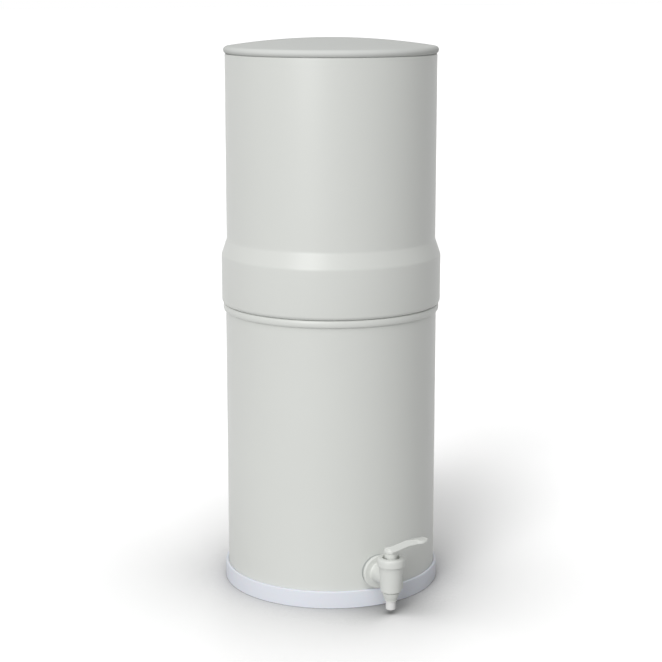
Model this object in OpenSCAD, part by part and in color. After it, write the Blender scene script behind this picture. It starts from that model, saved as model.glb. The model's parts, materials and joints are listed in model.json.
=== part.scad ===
// A gravity water filter: two stacked steel chambers under a domed lid, with two
// ceramic candles in the upper one and a lever tap at the foot of the lower one.
// The origin is the middle of the foot ring's underside, +Z is up, the tap is at -Y.

/* [Sheet steel] */
// Thickness of the steel that the chambers and the lid are pressed from
sheet_t = 0.8; // [0.6:0.1:1.2]

/* [Foot ring] */
// Height of the foot ring
ring_h = 17.3; // [15:0.1:24]
// Thickness of the foot ring's side wall
ring_wall = 3; // [2:0.25:4]
// Thickness of the foot ring's floor, which the lower chamber stands on
ring_floor = 2.5; // [2:0.25:4]
// Width of the foot ring's floor, inwards from its outer face
ring_floor_w = 20; // [14:0.5:26]

/* [Lower chamber] */
// Outside diameter of the lower chamber
lower_d = 210; // [196:1:226]
// Height of the lower chamber's rim above the ground
lower_h = 285.2; // [220:0.2:340]
// Radius of the lower chamber's bottom corner
lower_corner = 9; // [5:0.5:12]
// How far the middle of the lower chamber's bottom is pushed up
bottom_lift = 2.5; // [1.5:0.5:8]
// How far the rolled bead at the rim stands out from the wall
bead_out = 2.5; // [1.8:0.1:4]
// Height of the rolled bead
bead_h = 7.2; // [6:0.2:10]

/* [Upper chamber] */
// Height of the upper chamber from its ledge to its top edge
upper_h = 244.55; // [210:0.05:300]
// Depth of the part that drops into the lower chamber
spigot_h = 27.4; // [16:0.2:40]
// Radius of the upper chamber's bottom corner
spigot_corner = 8; // [4:0.5:12]
// How far the band stands out past the lower chamber's bead
band_over = 1.33; // [0.8:0.01:3]
// Height of the band up to its shoulder
band_h = 48.6; // [30:0.2:80]
// How far the wall steps in above the band
shoulder_in = 5.25; // [3:0.05:8]
// Height over which the wall steps in
shoulder_h = 15.25; // [12:0.25:24]
// Radius of the bends at both ends of the shoulder
shoulder_r = 9; // [4:0.5:14]
// Depth of the hem that is folded in at the top edge
hem_h = 6; // [3:0.5:10]

/* [Lid] */
// Radius of the lid's rolled rim
rim_r = 3.65; // [2.8:0.05:5]
// Rise of the lid's dome above its rim
dome_rise = 7.96; // [4:0.02:30]
// Depth of the locating ring below the lid's seam
skirt_h = 10; // [6:0.5:18]

/* [Candles] */
// Diameter of a ceramic candle
candle_d = 54; // [40:1:62]
// Length of a ceramic candle
candle_h = 170; // [100:1:190]
// Distance from the drop-in part's wall to each candle's axis
candle_inset = 55.4; // [50:0.2:62]
// Thickness of the ceramic wall
ceramic_t = 8; // [5:0.5:10]
// Diameter of the carbon core in a candle
core_d = 30; // [16:1:32]
// Diameter of a candle's threaded stem
stem_d = 12; // [9:0.5:14]
// Length of a candle's stem below the upper chamber's bottom
stem_below = 29; // [22:0.5:40]

/* [Tap] */
// Distance from the lower chamber's wall to the tap's upright axis
tap_reach = 29; // [26:0.5:40]
// Diameter of the tap's flange
flange_d = 33.4; // [30:0.2:36]
// Thickness of the tap's flange
flange_t = 3.2; // [2:0.2:4.5]
// Diameter of the threaded shank through the chamber's wall
shank_d = 16; // [13:0.5:18]
// Diameter of the waterway along the shank
waterway_d = 8; // [5:0.5:8.5]
// Thickness of the two gaskets at the wall
gasket_t = 2.5; // [2:0.1:4]
// Width across the flats of the backnut
nut_flats = 24; // [22:0.5:28]
// Thickness of the backnut
nut_t = 8; // [5:0.5:10]
// Diameter of the barrel under the bonnet
barrel_d = 23.5; // [22.5:0.1:27]
// Diameter of the barrel at its foot
barrel_foot_d = 20; // [19:0.1:22]
// Height of the barrel above the shank's axis
barrel_up = 14.3; // [13:0.1:18]
// Depth of the barrel below the shank's axis
barrel_down = 11.3; // [10:0.1:12]
// Diameter of the bonnet
bonnet_d = 27.3; // [25:0.1:32]
// Height of the bonnet
bonnet_h = 8.6; // [7.5:0.1:12]
// Diameter of the well in the bonnet that the lever stands in
well_d = 16.6; // [15.5:0.1:18]
// Diameter of the outlet collar at its top
collar_d = 15.7; // [14.6:0.1:18]
// Diameter of the outlet collar at its foot
collar_foot_d = 12.2; // [12:0.1:14]
// Height of the outlet collar
collar_h = 9.4; // [8:0.1:10]
// Outside diameter of the nozzle
nozzle_d = 9.7; // [8.6:0.1:9.8]
// Length of nozzle below the collar
nozzle_out = 9; // [5:0.5:9]

/* [Lever] */
// Reach of the lever from the tap's axis to its tip
lever_reach = 46.5; // [34:0.5:56]
// Rise of the lever's tip above its head
lever_rise = 21.4; // [12:0.2:28]
// Width of the lever's paddle
paddle_w = 12.5; // [9:0.5:16]
// Diameter of the lever's neck
neck_d = 10.9; // [10:0.1:12]
// Height of the lever's neck above the bonnet
neck_up = 4.5; // [3.5:0.1:7]
// Diameter of the lever's head
head_d = 13.5; // [12.5:0.1:16]
// Thickness of the lever's head
head_t = 4; // [3:0.1:6]
// How far the lever is turned from straight out, in degrees
lever_turn = 19; // [-60:1:60]

/* [Valve] */
// Diameter of the valve stem
valve_stem_d = 4.6; // [4:0.1:5]
// Diameter of the cross pin
pin_d = 2; // [1.6:0.1:2.2]
// Diameter of the silicone seat cup
cup_d = 12.5; // [10:0.1:13]
// Diameter of the spring's wire
wire_d = 0.9; // [0.7:0.05:1.1]
// Mean diameter of the spring
spring_d = 8.4; // [7.8:0.1:9]
// Number of working turns in the spring
spring_turns = 4.5; // [3:0.5:6]

/* [Hidden] */

// Fits and clearances: parts that slide or turn, curved faces that rest, and the cuts' overrun
run_gap = 0.3;
rest_gap = 0.3;
thread_gap = 0.1;
cut = 1;
$fn = 96;
wall_sides = 1440;

// Vessel: radii and heights
lower_r = lower_d / 2;
lower_in_r = lower_r - sheet_t;
bead_r = lower_r + bead_out;
bead_half = (bead_r - lower_in_r) / 2;
bead_mid_r = bead_r - bead_half;
bead_z = lower_h - bead_h / 2;
curl_start = 174;
curl_end = -110;
ring_r = lower_r + ring_wall;
ring_lip_share = 0.45;
ring_lip = ring_wall * ring_lip_share;
foot_w = 12;
foot_slope = 5;
foot_bend = 3;

spigot_gap = 0.8;
spigot_r = lower_in_r - spigot_gap;
band_r = bead_r + band_over;
upper_r = band_r - shoulder_in;
ledge_gap = 0.2;
ledge_z = lower_h + ledge_gap;
tuck_shares = [0.27, 0.7];
spigot_z = ledge_z - spigot_h;
plate_z = spigot_z + sheet_t;
upper_top = ledge_z + upper_h;
hem_slot = 0.3;
hem_half = sheet_t + hem_slot / 2;

seam_gap = 0.15;
seam_z = upper_top + seam_gap;
curl_gap = 0.2;
skirt_gap = 0.6;
skirt_r = upper_r - 2 * hem_half - skirt_gap;
rim_x = skirt_r + curl_gap;
rim_z = seam_z + rim_r;
rim_slope = atan(2 * dome_rise / rim_x);
dome_r = rim_x + rim_r * sin(rim_slope);
dome_z = rim_z + rim_r * cos(rim_slope);
dome_steps = 24;
nest_gap = 0.05;
nest_r = rim_r - sheet_t - nest_gap;
nest_end = -20;

// Candles
candle_r = candle_d / 2;
washer_t = 2.5;
washer_w = 5;
cup_wall = 2;
cup_gap = 0.25;
cup_h = 12;
cup_floor = 4;
cup_r = candle_r + cup_gap + cup_wall;
base_z = plate_z + washer_t;
shell_z = base_z + cup_floor;
dome_share = 0.8;
stem_wall = 3;
stem_bore_r = stem_d / 2 - stem_wall;
candle_x = spigot_r - candle_inset;
core_gap = 3;
core_bore_share = 0.85;
core_h = candle_h - ceramic_t - candle_r * dome_share - core_gap;
wing_boss_wall = 3.5;
wing_boss_r = stem_d / 2 + wing_boss_wall;
wing_boss_h = 9;
wing_w = 9;
wing_h = 14;
wing_t = 2.6;
wing_top = wing_boss_h - rest_gap;

// Tap: the shank's axis runs along Y at tap_z, the barrel's stands at tap_y
flange_rise = 0.6;
tap_z = ring_h + flange_rise + flange_d / 2;
tap_y = lower_r + tap_reach;
flange_y = lower_r + gasket_t;
shank_r = shank_d / 2;
flange_front = flange_y + flange_t;
hub_out = 0.7;
hub_r = shank_r + hub_out;
flange_lip = 1.2;
gasket_inset = 0.5;
gasket_r = flange_d / 2 - gasket_inset;
gasket_w = 5.5;
inner_gasket_r = shank_r + gasket_w;
nut_y = lower_in_r - gasket_t;
nut_washer_r = inner_gasket_r;
nut_washer_t = 2;
shank_past = 4;
shank_end_y = nut_y - nut_t - shank_past;
barrel_top = tap_z + barrel_up;
barrel_foot = tap_z - barrel_down;
barrel_r = barrel_d / 2;
barrel_foot_r = barrel_foot_d / 2;
foot_round = 1;
rib_w = 2.6;
rib_gap = 0.6;
chamber_wall = 2.3;
chamber_r = barrel_foot_r - chamber_wall;
chamber_drop = 1.1;
chamber_floor = tap_z - waterway_d / 2 - chamber_drop;
seat_r = 4.4;
seat_h = 1;
outlet_r = 3.2;
socket_step = 1;
socket_r = chamber_r + socket_step;
socket_h = 6;

bonnet_r = bonnet_d / 2;
bonnet_round = 2.6;
bonnet_foot_round = 0.8;
bonnet_top = barrel_top + bonnet_h;
bonnet_spigot_r = socket_r - thread_gap;
bonnet_foot_gap = 0.5;
bonnet_spigot_h = socket_h - bonnet_foot_gap;
well_r = well_d / 2;
well_h = 4.8;
well_floor = bonnet_top - well_h;
bonnet_floor_t = 2.3;
spring_top = well_floor - bonnet_floor_t;
pocket_wall = 2;
spring_pocket_r = bonnet_spigot_r - pocket_wall;
o_ring_w = 1.4;
o_ring_z = barrel_top - 2 * o_ring_w;
thrust_t = 1.2;
lever_foot = well_floor + thrust_t;

collar_z = barrel_foot - collar_h;
outlet_spigot_r = 5.3;
collar_lip = 1.4;
collar_groove = 0.45;
collar_foot_t = collar_lip + collar_groove;
nozzle_z = collar_z - nozzle_out;
nozzle_r = nozzle_d / 2;
nozzle_wall = 1.4;
nozzle_neck = 0.2;
nozzle_flange_t = 1.1;
nozzle_round = 0.9;
outlet_spigot_h = collar_h - collar_foot_t - nozzle_flange_t - rest_gap;

// Lever: it stands on the thrust ring and rocks on the edge of its neck
neck_r = neck_d / 2;
head_z = bonnet_top + neck_up;
head_round = 1.3;
head_lip = 0.7;
arm_taper = 3;
arm_w = paddle_w - arm_taper;
pin_up = 2.3;
pin_z = lever_foot + pin_up;
pin_slip = 1.1;
stem_tip = 2.2;
slot_back = 1.9;
slot_top = 1.1;
top_shares = [[-0.10, 0.17], [0.09, 0.26], [0.51, 0.76], [0.80, 1.00], [1.00, 0.99]];
under_shares = [[1.00, 0.90], [0.82, 0.78], [0.55, 0.51], [0.31, 0.15], [0.12, 0.03], [-0.10, 0.03]];
arm_bend_share = 0.18;
tip_bend_share = 0.02;

// Valve
valve_r = valve_stem_d / 2;
cup_top_t = 2;
seat_cup_z = chamber_floor + seat_h;
seat_cup_h = 6;
collar_on_stem_t = 1.2;
stem_collar_z = seat_cup_z + seat_cup_h;
spring_z = stem_collar_z + collar_on_stem_t;
stem_foot = seat_cup_z + cup_top_t;
bulb_out = 1;
bulb_r = valve_r + bulb_out;
bulb_h = 2;

// Spring: a closed turn at each end and working turns between
spring_rings = 8;
spring_sides = 6;
spring_end_gap = 0.5;
spring_all_turns = spring_turns + 2;
spring_end_pitch = wire_d + spring_end_gap;
spring_pitch = (spring_top - spring_z - wire_d - 2 * spring_end_pitch) / spring_turns;

// Points of an arc about c, from angle a to angle b
function arc(c, r, a, b, n = 8) =
  [for (i = [0 : n]) c + r * [cos(a + (b - a) * i / n), sin(a + (b - a) * i / n)]];

// Points of an arc of an ellipse about c with half axes r
function oval(c, r, a, b, n = 12) =
  [for (i = [0 : n]) c + [r[0] * cos(a + (b - a) * i / n), r[1] * sin(a + (b - a) * i / n)]];

function unit(v) = v / norm(v);
function backwards(path) = [for (i = [len(path) - 1 : -1 : 0]) path[i]];
function without_first(path) = [for (i = [1 : len(path) - 1]) path[i]];
function without_last(path) = [for (i = [0 : len(path) - 2]) path[i]];
function without_ends(path) = without_first(without_last(path));

// Corner p between a and b, rounded by radius r
function bend(a, p, b, r, n) =
  let (u = unit([a[0] - p[0], a[1] - p[1]]),
       v = unit([b[0] - p[0], b[1] - p[1]]),
       half = acos(u * v) / 2,
       c = [p[0], p[1]] + unit(u + v) * r / sin(half),
       from = [p[0], p[1]] + u * r / tan(half) - c,
       to = [p[0], p[1]] + v * r / tan(half) - c,
       start = atan2(from[1], from[0]),
       turn = (atan2(to[1], to[0]) - start + 540) % 360 - 180)
  arc(c, r, start, start + turn, n);

// Open outline through corners [x, y, radius]
function rounded(corners, n = 6) =
  [for (i = [0 : len(corners) - 1])
     let (p = corners[i])
     each (i == 0 || i == len(corners) - 1 || len(p) < 3) ? [[p[0], p[1]]]
       : bend(corners[i - 1], p, corners[i + 1], p[2], n)];

// Closed outline through corners [x, y, radius]
function rounded_loop(corners, n = 6) =
  let (m = len(corners))
  [for (i = [0 : m - 1])
     let (p = corners[i])
     each len(p) < 3 ? [[p[0], p[1]]] : bend(corners[(i + m - 1) % m], p, corners[(i + 1) % m], p[2], n)];

// The same open outline, moved t to its left; one that starts on the axis stays on it
function left(a, b) = unit([a[1] - b[1], b[0] - a[0]]);
function beside(path, t) =
  [for (i = [0 : len(path) - 1])
     let (after = i < len(path) - 1 ? left(path[i], path[i + 1]) : left(path[i - 1], path[i]),
          before = i > 0 ? left(path[i - 1], path[i]) : path[i][0] == 0 ? [-after[0], after[1]] : after)
     path[i] + t * (before + after) / (1 + before * after)];
function sheet(path, t) = concat(path, backwards(beside(path, t)));

module at_tap() translate([0, -tap_y, 0]) children();
module at_lever() at_tap() rotate(lever_turn - 90) children();
module at_candle(side) translate([side * candle_x, 0, 0]) children();

// A bar along the shank, from distance a to distance b in front of the vessel's axis
module along_shank(a, b, r) translate([0, -a, tap_z]) rotate([90, 0, 0]) cylinder(r = r, h = b - a);

// Vessel

lower_outside = rounded([
  [0, ring_floor + bottom_lift],
  [lower_r - lower_corner - foot_w - foot_slope, ring_floor + bottom_lift, foot_bend],
  [lower_r - lower_corner - foot_w, ring_floor, foot_bend],
  [lower_r, ring_floor, lower_corner],
  [lower_r, bead_z]]);

module base_ring() color("#dfe4ea")
  rotate_extrude() polygon(concat(
    [[ring_r - ring_floor_w, 0]],
    rounded([[ring_r - ring_floor_w, 0], [ring_r, 0, ring_lip / 2], [ring_r, ring_h, ring_lip],
             [lower_r, ring_h, ring_lip], [lower_r, ring_floor, lower_corner],
             [ring_r - ring_floor_w, ring_floor]])));

module lower_chamber() color("#d5d7d3") difference() {
  rotate_extrude() polygon(concat(
    lower_outside,
    oval([bead_mid_r, bead_z], [bead_half - sheet_t, bead_h / 2 - sheet_t], curl_start, curl_end, 20),
    oval([bead_mid_r, bead_z], [bead_half, bead_h / 2], curl_end, curl_start, 20),
    backwards(beside(lower_outside, sheet_t))));
  along_shank(0, lower_r + cut, shank_r + thread_gap);
}

upper_outside = rounded([
  [0, spigot_z],
  [spigot_r, spigot_z, spigot_corner],
  [spigot_r, ledge_z, (band_r - spigot_r) * tuck_shares[0]],
  [band_r, ledge_z, (band_r - spigot_r) * tuck_shares[1]],
  [band_r, ledge_z + band_h, shoulder_r],
  [upper_r, ledge_z + band_h + shoulder_h, shoulder_r],
  [upper_r, upper_top - hem_half]]);

module upper_chamber() color("#d5d7d3") difference() {
  rotate_extrude() polygon(concat(
    upper_outside,
    without_ends(arc([upper_r - hem_half, upper_top - hem_half], hem_half, 0, 180)),
    [[upper_r - 2 * hem_half, upper_top - hem_half], [upper_r - 2 * hem_half, upper_top - hem_h],
     [upper_r - hem_half - hem_slot / 2, upper_top - hem_h]],
    arc([upper_r - hem_half, upper_top - hem_half], hem_slot / 2, 180, 0),
    backwards(without_last(beside(upper_outside, sheet_t)))));
  for (side = [-1, 1]) at_candle(side)
    translate([0, 0, spigot_z - cut]) cylinder(r = stem_d / 2 + run_gap, h = sheet_t + 2 * cut);
}

lid_outside = concat(
  [for (i = [0 : dome_steps]) [dome_r * i / dome_steps, dome_z + dome_rise * (1 - pow(i / dome_steps, 2))]],
  without_first(arc([rim_x, rim_z], rim_r, 90 - rim_slope, -90, 16)));

module lid() color("#cdd1cc")
  rotate_extrude() polygon(sheet(lid_outside, -sheet_t));

module lid_locating_ring() color("#c9ccd0")
  rotate_extrude() polygon(sheet(concat(
    rounded([[skirt_r, seam_z - skirt_h], [skirt_r, rim_z - nest_r, curl_gap / 2], [rim_x, rim_z - nest_r]]),
    without_first(arc([rim_x, rim_z], nest_r, -90, nest_end))), sheet_t));

// Candles

module candle_shell(side) color("#f1efe8") at_candle(side) rotate_extrude()
  polygon(sheet(concat(
    oval([0, shell_z + candle_h - candle_r * dome_share], [candle_r, candle_r * dome_share], 90, 0, 14),
    [[candle_r, shell_z]]), -ceramic_t));

module candle_core(side) color("#2c2c2e") at_candle(side)
  translate([0, 0, shell_z]) difference() {
    cylinder(d = core_d, h = core_h);
    translate([0, 0, -cut]) cylinder(r = stem_bore_r, h = core_h * core_bore_share + cut);
  }

module candle_base(side) color("#f4f4f2") at_candle(side) difference() {
  rotate_extrude() polygon(concat(
    [[0, spigot_z - stem_below]],
    rounded([[0, spigot_z - stem_below], [stem_d / 2, spigot_z - stem_below, cup_gap],
             [stem_d / 2, base_z], [cup_r, base_z, cup_wall / 2], [cup_r, base_z + cup_h, cup_wall / 3],
             [cup_r - cup_wall, base_z + cup_h], [cup_r - cup_wall, shell_z], [0, shell_z]])));
  translate([0, 0, spigot_z - stem_below - cut]) cylinder(r = stem_bore_r, h = stem_below + spigot_h);
}

module candle_washers() color("#8b8f90") for (side = [-1, 1]) at_candle(side)
  translate([0, 0, plate_z]) difference() {
    cylinder(r = stem_d / 2 + washer_w, h = washer_t);
    translate([0, 0, -cut]) cylinder(r = stem_d / 2 + thread_gap, h = washer_t + 2 * cut);
  }

module wing_nuts() color("#f4f4f2") for (side = [-1, 1]) at_candle(side)
  translate([0, 0, spigot_z - wing_boss_h]) difference() {
    union() {
      cylinder(r = wing_boss_r, h = wing_boss_h);
      for (turn = [0, 180]) rotate(turn) translate([wing_boss_r - wing_t / 2, wing_t / 2, 0])
        rotate([90, 0, 0]) linear_extrude(wing_t)
          polygon(rounded_loop([[0, cut], [wing_w, wing_top - wing_h, wing_w / 3],
                                [wing_w, wing_top, wing_w / 3], [0, wing_boss_h - cut]]));
    }
    translate([0, 0, -wing_h]) cylinder(r = stem_d / 2 + thread_gap, h = wing_boss_h + 2 * wing_h);
  }

// Tap, fixed pieces

module tap_body() color("#d6d8d5") difference() {
  union() {
    along_shank(shank_end_y, flange_y + cut, shank_r);
    translate([0, 0, tap_z]) rotate([90, 0, 0]) rotate_extrude() polygon(concat(
      [[0, flange_y]],
      rounded([[0, flange_y], [flange_d / 2, flange_y, flange_lip / 3],
               [flange_d / 2, flange_front, flange_lip], [hub_r + flange_lip, flange_front, flange_lip],
               [hub_r, tap_y - chamber_r], [0, tap_y - chamber_r]])));
    at_tap() rotate_extrude() polygon(concat(
      [[0, barrel_foot - outlet_spigot_h]],
      rounded([[0, barrel_foot - outlet_spigot_h], [outlet_spigot_r, barrel_foot - outlet_spigot_h],
               [outlet_spigot_r, barrel_foot], [barrel_foot_r, barrel_foot, foot_round],
               [barrel_r, barrel_top], [0, barrel_top]])));
    at_tap() translate([0, -rib_w / 2, barrel_foot + foot_round])
      cube([barrel_r, rib_w, barrel_top - barrel_foot - foot_round - rib_gap]);
  }
  along_shank(shank_end_y - cut, tap_y, waterway_d / 2);
  at_tap() {
    difference() {
      translate([0, 0, chamber_floor]) cylinder(r = chamber_r, h = barrel_top - chamber_floor + cut);
      translate([0, 0, chamber_floor - cut]) cylinder(r = seat_r, h = seat_h + cut);
    }
    translate([0, 0, barrel_top - socket_h]) cylinder(r = socket_r, h = socket_h + cut);
    translate([0, 0, barrel_foot - outlet_spigot_h - cut])
      cylinder(r = outlet_r, h = chamber_floor + seat_h - barrel_foot + outlet_spigot_h + 2 * cut);
  }
}

module tap_outer_gasket() color("#8b8f90") difference() {
  along_shank(lower_in_r - gasket_t, flange_y, gasket_r);
  cylinder(r = lower_r, h = tap_z + flange_d, $fn = wall_sides);
  along_shank(0, flange_y + cut, shank_r + thread_gap);
}

module tap_inner_gasket() color("#8b8f90") difference() {
  intersection() {
    along_shank(nut_y, lower_r, inner_gasket_r);
    cylinder(r = lower_in_r, h = tap_z + flange_d, $fn = wall_sides);
  }
  along_shank(0, flange_y + cut, shank_r + thread_gap);
}

module tap_backnut() color("#eceded") difference() {
  union() {
    along_shank(nut_y - nut_washer_t, nut_y, nut_washer_r);
    translate([0, -nut_y, tap_z]) rotate([-90, 0, 0]) cylinder(d = nut_flats / cos(30), h = nut_t, $fn = 6);
  }
  along_shank(0, flange_y, shank_r + thread_gap / 2);
}

module tap_bonnet() color("#d8dad7") at_tap() difference() {
  rotate_extrude() polygon(concat(
    [[0, barrel_top - bonnet_spigot_h]],
    rounded([[0, barrel_top - bonnet_spigot_h], [bonnet_spigot_r, barrel_top - bonnet_spigot_h],
             [bonnet_spigot_r, o_ring_z], [bonnet_spigot_r - o_ring_w, o_ring_z],
             [bonnet_spigot_r - o_ring_w, o_ring_z + o_ring_w], [bonnet_spigot_r, o_ring_z + o_ring_w],
             [bonnet_spigot_r, barrel_top], [bonnet_r, barrel_top, bonnet_foot_round],
             [bonnet_r, bonnet_top, bonnet_round], [well_r, bonnet_top, bonnet_foot_round],
             [well_r, well_floor], [0, well_floor]])));
  translate([0, 0, barrel_top - bonnet_spigot_h - cut])
    cylinder(r = spring_pocket_r, h = spring_top - barrel_top + bonnet_spigot_h + cut);
  translate([0, 0, spring_top - cut]) cylinder(r = valve_r + run_gap, h = bonnet_floor_t + 2 * cut);
}

module bonnet_o_ring() color("#2a2a2c") at_tap() rotate_extrude()
  translate([socket_r - o_ring_w / 2, o_ring_z + o_ring_w / 2]) circle(d = o_ring_w - thread_gap, $fn = 24);

module outlet_collar() color("#d2d4d1") at_tap() difference() {
  rotate_extrude() polygon(concat(
    [[0, collar_z]],
    rounded([[0, collar_z], [collar_foot_d / 2, collar_z, collar_groove],
             [collar_foot_d / 2, collar_z + collar_lip],
             [collar_foot_d / 2 - collar_groove, collar_z + collar_lip],
             [collar_foot_d / 2 - collar_groove, collar_z + collar_foot_t],
             [collar_foot_d / 2, collar_z + collar_foot_t],
             [collar_d / 2, barrel_foot - collar_lip], [collar_d / 2, barrel_foot - collar_groove],
             [collar_d / 2 - collar_groove, barrel_foot - collar_groove],
             [collar_d / 2 - collar_groove, barrel_foot], [0, barrel_foot]])));
  translate([0, 0, collar_z + collar_foot_t]) cylinder(r = outlet_spigot_r + thread_gap, h = collar_h);
  translate([0, 0, collar_z - cut]) cylinder(r = nozzle_r, h = collar_h);
}

module nozzle() color("#f2f2f2") at_tap() difference() {
  rotate_extrude() polygon(concat(
    [[0, nozzle_z]],
    rounded([[0, nozzle_z], [nozzle_r, nozzle_z, nozzle_round], [nozzle_r, collar_z],
             [nozzle_r - nozzle_neck, collar_z], [nozzle_r - nozzle_neck, collar_z + collar_foot_t],
             [outlet_spigot_r, collar_z + collar_foot_t],
             [outlet_spigot_r, collar_z + collar_foot_t + nozzle_flange_t],
             [0, collar_z + collar_foot_t + nozzle_flange_t]])));
  translate([0, 0, nozzle_z - cut]) cylinder(r = nozzle_r - nozzle_wall, h = nozzle_out + collar_h);
}

// Tap, moving pieces

module thrust_ring() color("#f4f4f2") at_tap() translate([0, 0, well_floor]) difference() {
  cylinder(r = well_r - run_gap, h = thrust_t);
  translate([0, 0, -cut]) cylinder(r = valve_r + run_gap, h = thrust_t + 2 * cut);
}

module lever() color("#d0d2cf") at_lever() difference() {
  union() {
    translate([0, 0, lever_foot]) cylinder(r = neck_r, h = head_z - lever_foot + cut);
    rotate_extrude() polygon(concat(
      [[0, head_z]],
      rounded([[0, head_z], [head_d / 2, head_z, head_lip / 3], [head_d / 2, head_z + head_t, head_round],
               [0, head_z + head_t]])));
    intersection() {
      rotate([90, 0, 0]) translate([0, 0, -paddle_w]) linear_extrude(2 * paddle_w) polygon(arm_side());
      translate([0, 0, head_z]) linear_extrude(lever_rise + head_t) polygon(arm_plan());
    }
  }
  // Slot for the stem, open at the neck's foot, and the cross slot that the pin slides along
  translate([-valve_r - slot_back, -valve_r - rest_gap, lever_foot - cut])
    cube([2 * valve_r + slot_back + rest_gap, 2 * (valve_r + rest_gap), pin_up + stem_tip + slot_top + cut]);
  for (x = [-pin_slip, 0]) translate([x, neck_r + cut, pin_z]) rotate([90, 0, 0])
    cylinder(r = pin_d / 2 + thread_gap, h = 2 * (neck_r + cut));
  translate([-pin_slip, -neck_r - cut, pin_z - pin_d / 2 - thread_gap])
    cube([pin_slip, 2 * (neck_r + cut), pin_d + 2 * thread_gap]);
}

// The arm seen from its side: a table of shares of the lever's reach and rise
function arm_side() =
  let (reach = lever_reach, bend_r = reach * arm_bend_share, tip_r = reach * tip_bend_share,
       size = [reach, lever_rise],
       top = [for (i = [0 : len(top_shares) - 1])
                [top_shares[i][0] * size[0], head_z + top_shares[i][1] * size[1],
                 i == len(top_shares) - 1 ? tip_r : bend_r]],
       under = [for (i = [0 : len(under_shares) - 1])
                [under_shares[i][0] * size[0], head_z + under_shares[i][1] * size[1],
                 i == 0 ? tip_r : bend_r]])
  concat([[top[0][0], top[0][1]]], without_ends(rounded(concat(top, under))),
         [[under[len(under) - 1][0], under[len(under) - 1][1]]]);

// The arm seen from above: it widens to the paddle and ends in half a circle
function arm_plan() =
  let (tip_x = lever_reach - paddle_w / 2)
  concat(arc([tip_x, 0], paddle_w / 2, -90, 90, 16), [[head_d / 4, arm_w / 2], [-head_d / 4, arm_w / 2],
         [-head_d / 4, -arm_w / 2], [head_d / 4, -arm_w / 2]]);

module lever_pin() color("#b9bcbe") at_lever()
  translate([0, neck_r - rest_gap, pin_z]) rotate([90, 0, 0])
    cylinder(d = pin_d, h = 2 * (neck_r - rest_gap));

module valve_stem() color("#f4f4f2") at_lever() difference() {
  union() {
    translate([0, 0, stem_foot]) cylinder(r = valve_r, h = pin_z + stem_tip - stem_foot);
    translate([0, 0, stem_collar_z]) cylinder(r = spring_d / 2 + wire_d / 2, h = collar_on_stem_t);
    translate([0, 0, stem_foot]) cylinder(r = bulb_r, h = bulb_h);
  }
  translate([0, neck_r, pin_z]) rotate([90, 0, 0]) cylinder(r = pin_d / 2 + thread_gap / 2, h = 2 * neck_r);
}

module seat_cup() color("#e9e4da") at_tap() difference() {
  rotate_extrude() polygon(concat(
    [[0, seat_cup_z]],
    rounded([[0, seat_cup_z], [cup_d / 2, seat_cup_z, foot_round],
             [cup_d / 2, stem_collar_z, foot_round], [0, stem_collar_z]])));
  translate([0, 0, stem_foot]) cylinder(r = valve_r + thread_gap / 2, h = seat_cup_h);
  translate([0, 0, stem_foot]) cylinder(r = bulb_r + thread_gap / 2, h = bulb_h + thread_gap / 2);
}

// The spring is one unbroken tube along spring_point, where t counts the turns
function spring_rise(t) =
  t < 1 ? spring_end_pitch * t
    : t > spring_all_turns - 1
      ? spring_end_pitch + spring_pitch * spring_turns + spring_end_pitch * (t - spring_all_turns + 1)
    : spring_end_pitch + spring_pitch * (t - 1);
function spring_point(t) =
  [spring_d / 2 * cos(360 * t), spring_d / 2 * sin(360 * t), spring_z + wire_d / 2 + spring_rise(t)];

// The least gap between the wire's turns, measured between points half a turn or more apart
spring_line = [for (i = [0 : spring_all_turns * spring_rings]) spring_point(i / spring_rings)];
echo("least gap of the valve spring to itself, mm", min([
  for (i = [0 : len(spring_line) - 1], j = [i + spring_rings / 2 : 1 : len(spring_line) - 1])
    norm(spring_line[j] - spring_line[i]) - wire_d]));

module valve_spring() color("#a9adb1") at_tap() {
  rings = spring_all_turns * spring_rings;
  up = [0, 0, 1];
  points = [for (i = [0 : rings], k = [0 : spring_sides - 1])
    let (t = i / spring_rings, out = [cos(360 * t), sin(360 * t), 0], a = 360 * k / spring_sides)
    spring_point(t) + wire_d / 2 * (cos(a) * out + sin(a) * up)];
  sides = [for (i = [0 : rings - 1], k = [0 : spring_sides - 1])
    let (a = i * spring_sides + k, b = i * spring_sides + (k + 1) % spring_sides)
    each [[a, b, b + spring_sides], [a, b + spring_sides, a + spring_sides]]];
  ends = [[for (k = [0 : spring_sides - 1]) spring_sides - 1 - k],
          [for (k = [0 : spring_sides - 1]) rings * spring_sides + k]];
  polyhedron(points, concat(sides, ends));
}

base_ring();
lower_chamber();
upper_chamber();
lid();
lid_locating_ring();
candle_shell(-1);  // candle_shell_left
candle_shell(1);  // candle_shell_right
candle_core(-1);  // candle_core_left
candle_core(1);  // candle_core_right
candle_base(-1);  // candle_base_left
candle_base(1);  // candle_base_right
candle_washers();
wing_nuts();
tap_body();
tap_outer_gasket();
tap_inner_gasket();
tap_backnut();
tap_bonnet();
bonnet_o_ring();
thrust_ring();
lever();
lever_pin();
valve_stem();
seat_cup();
valve_spring();
outlet_collar();
nozzle();
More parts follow.
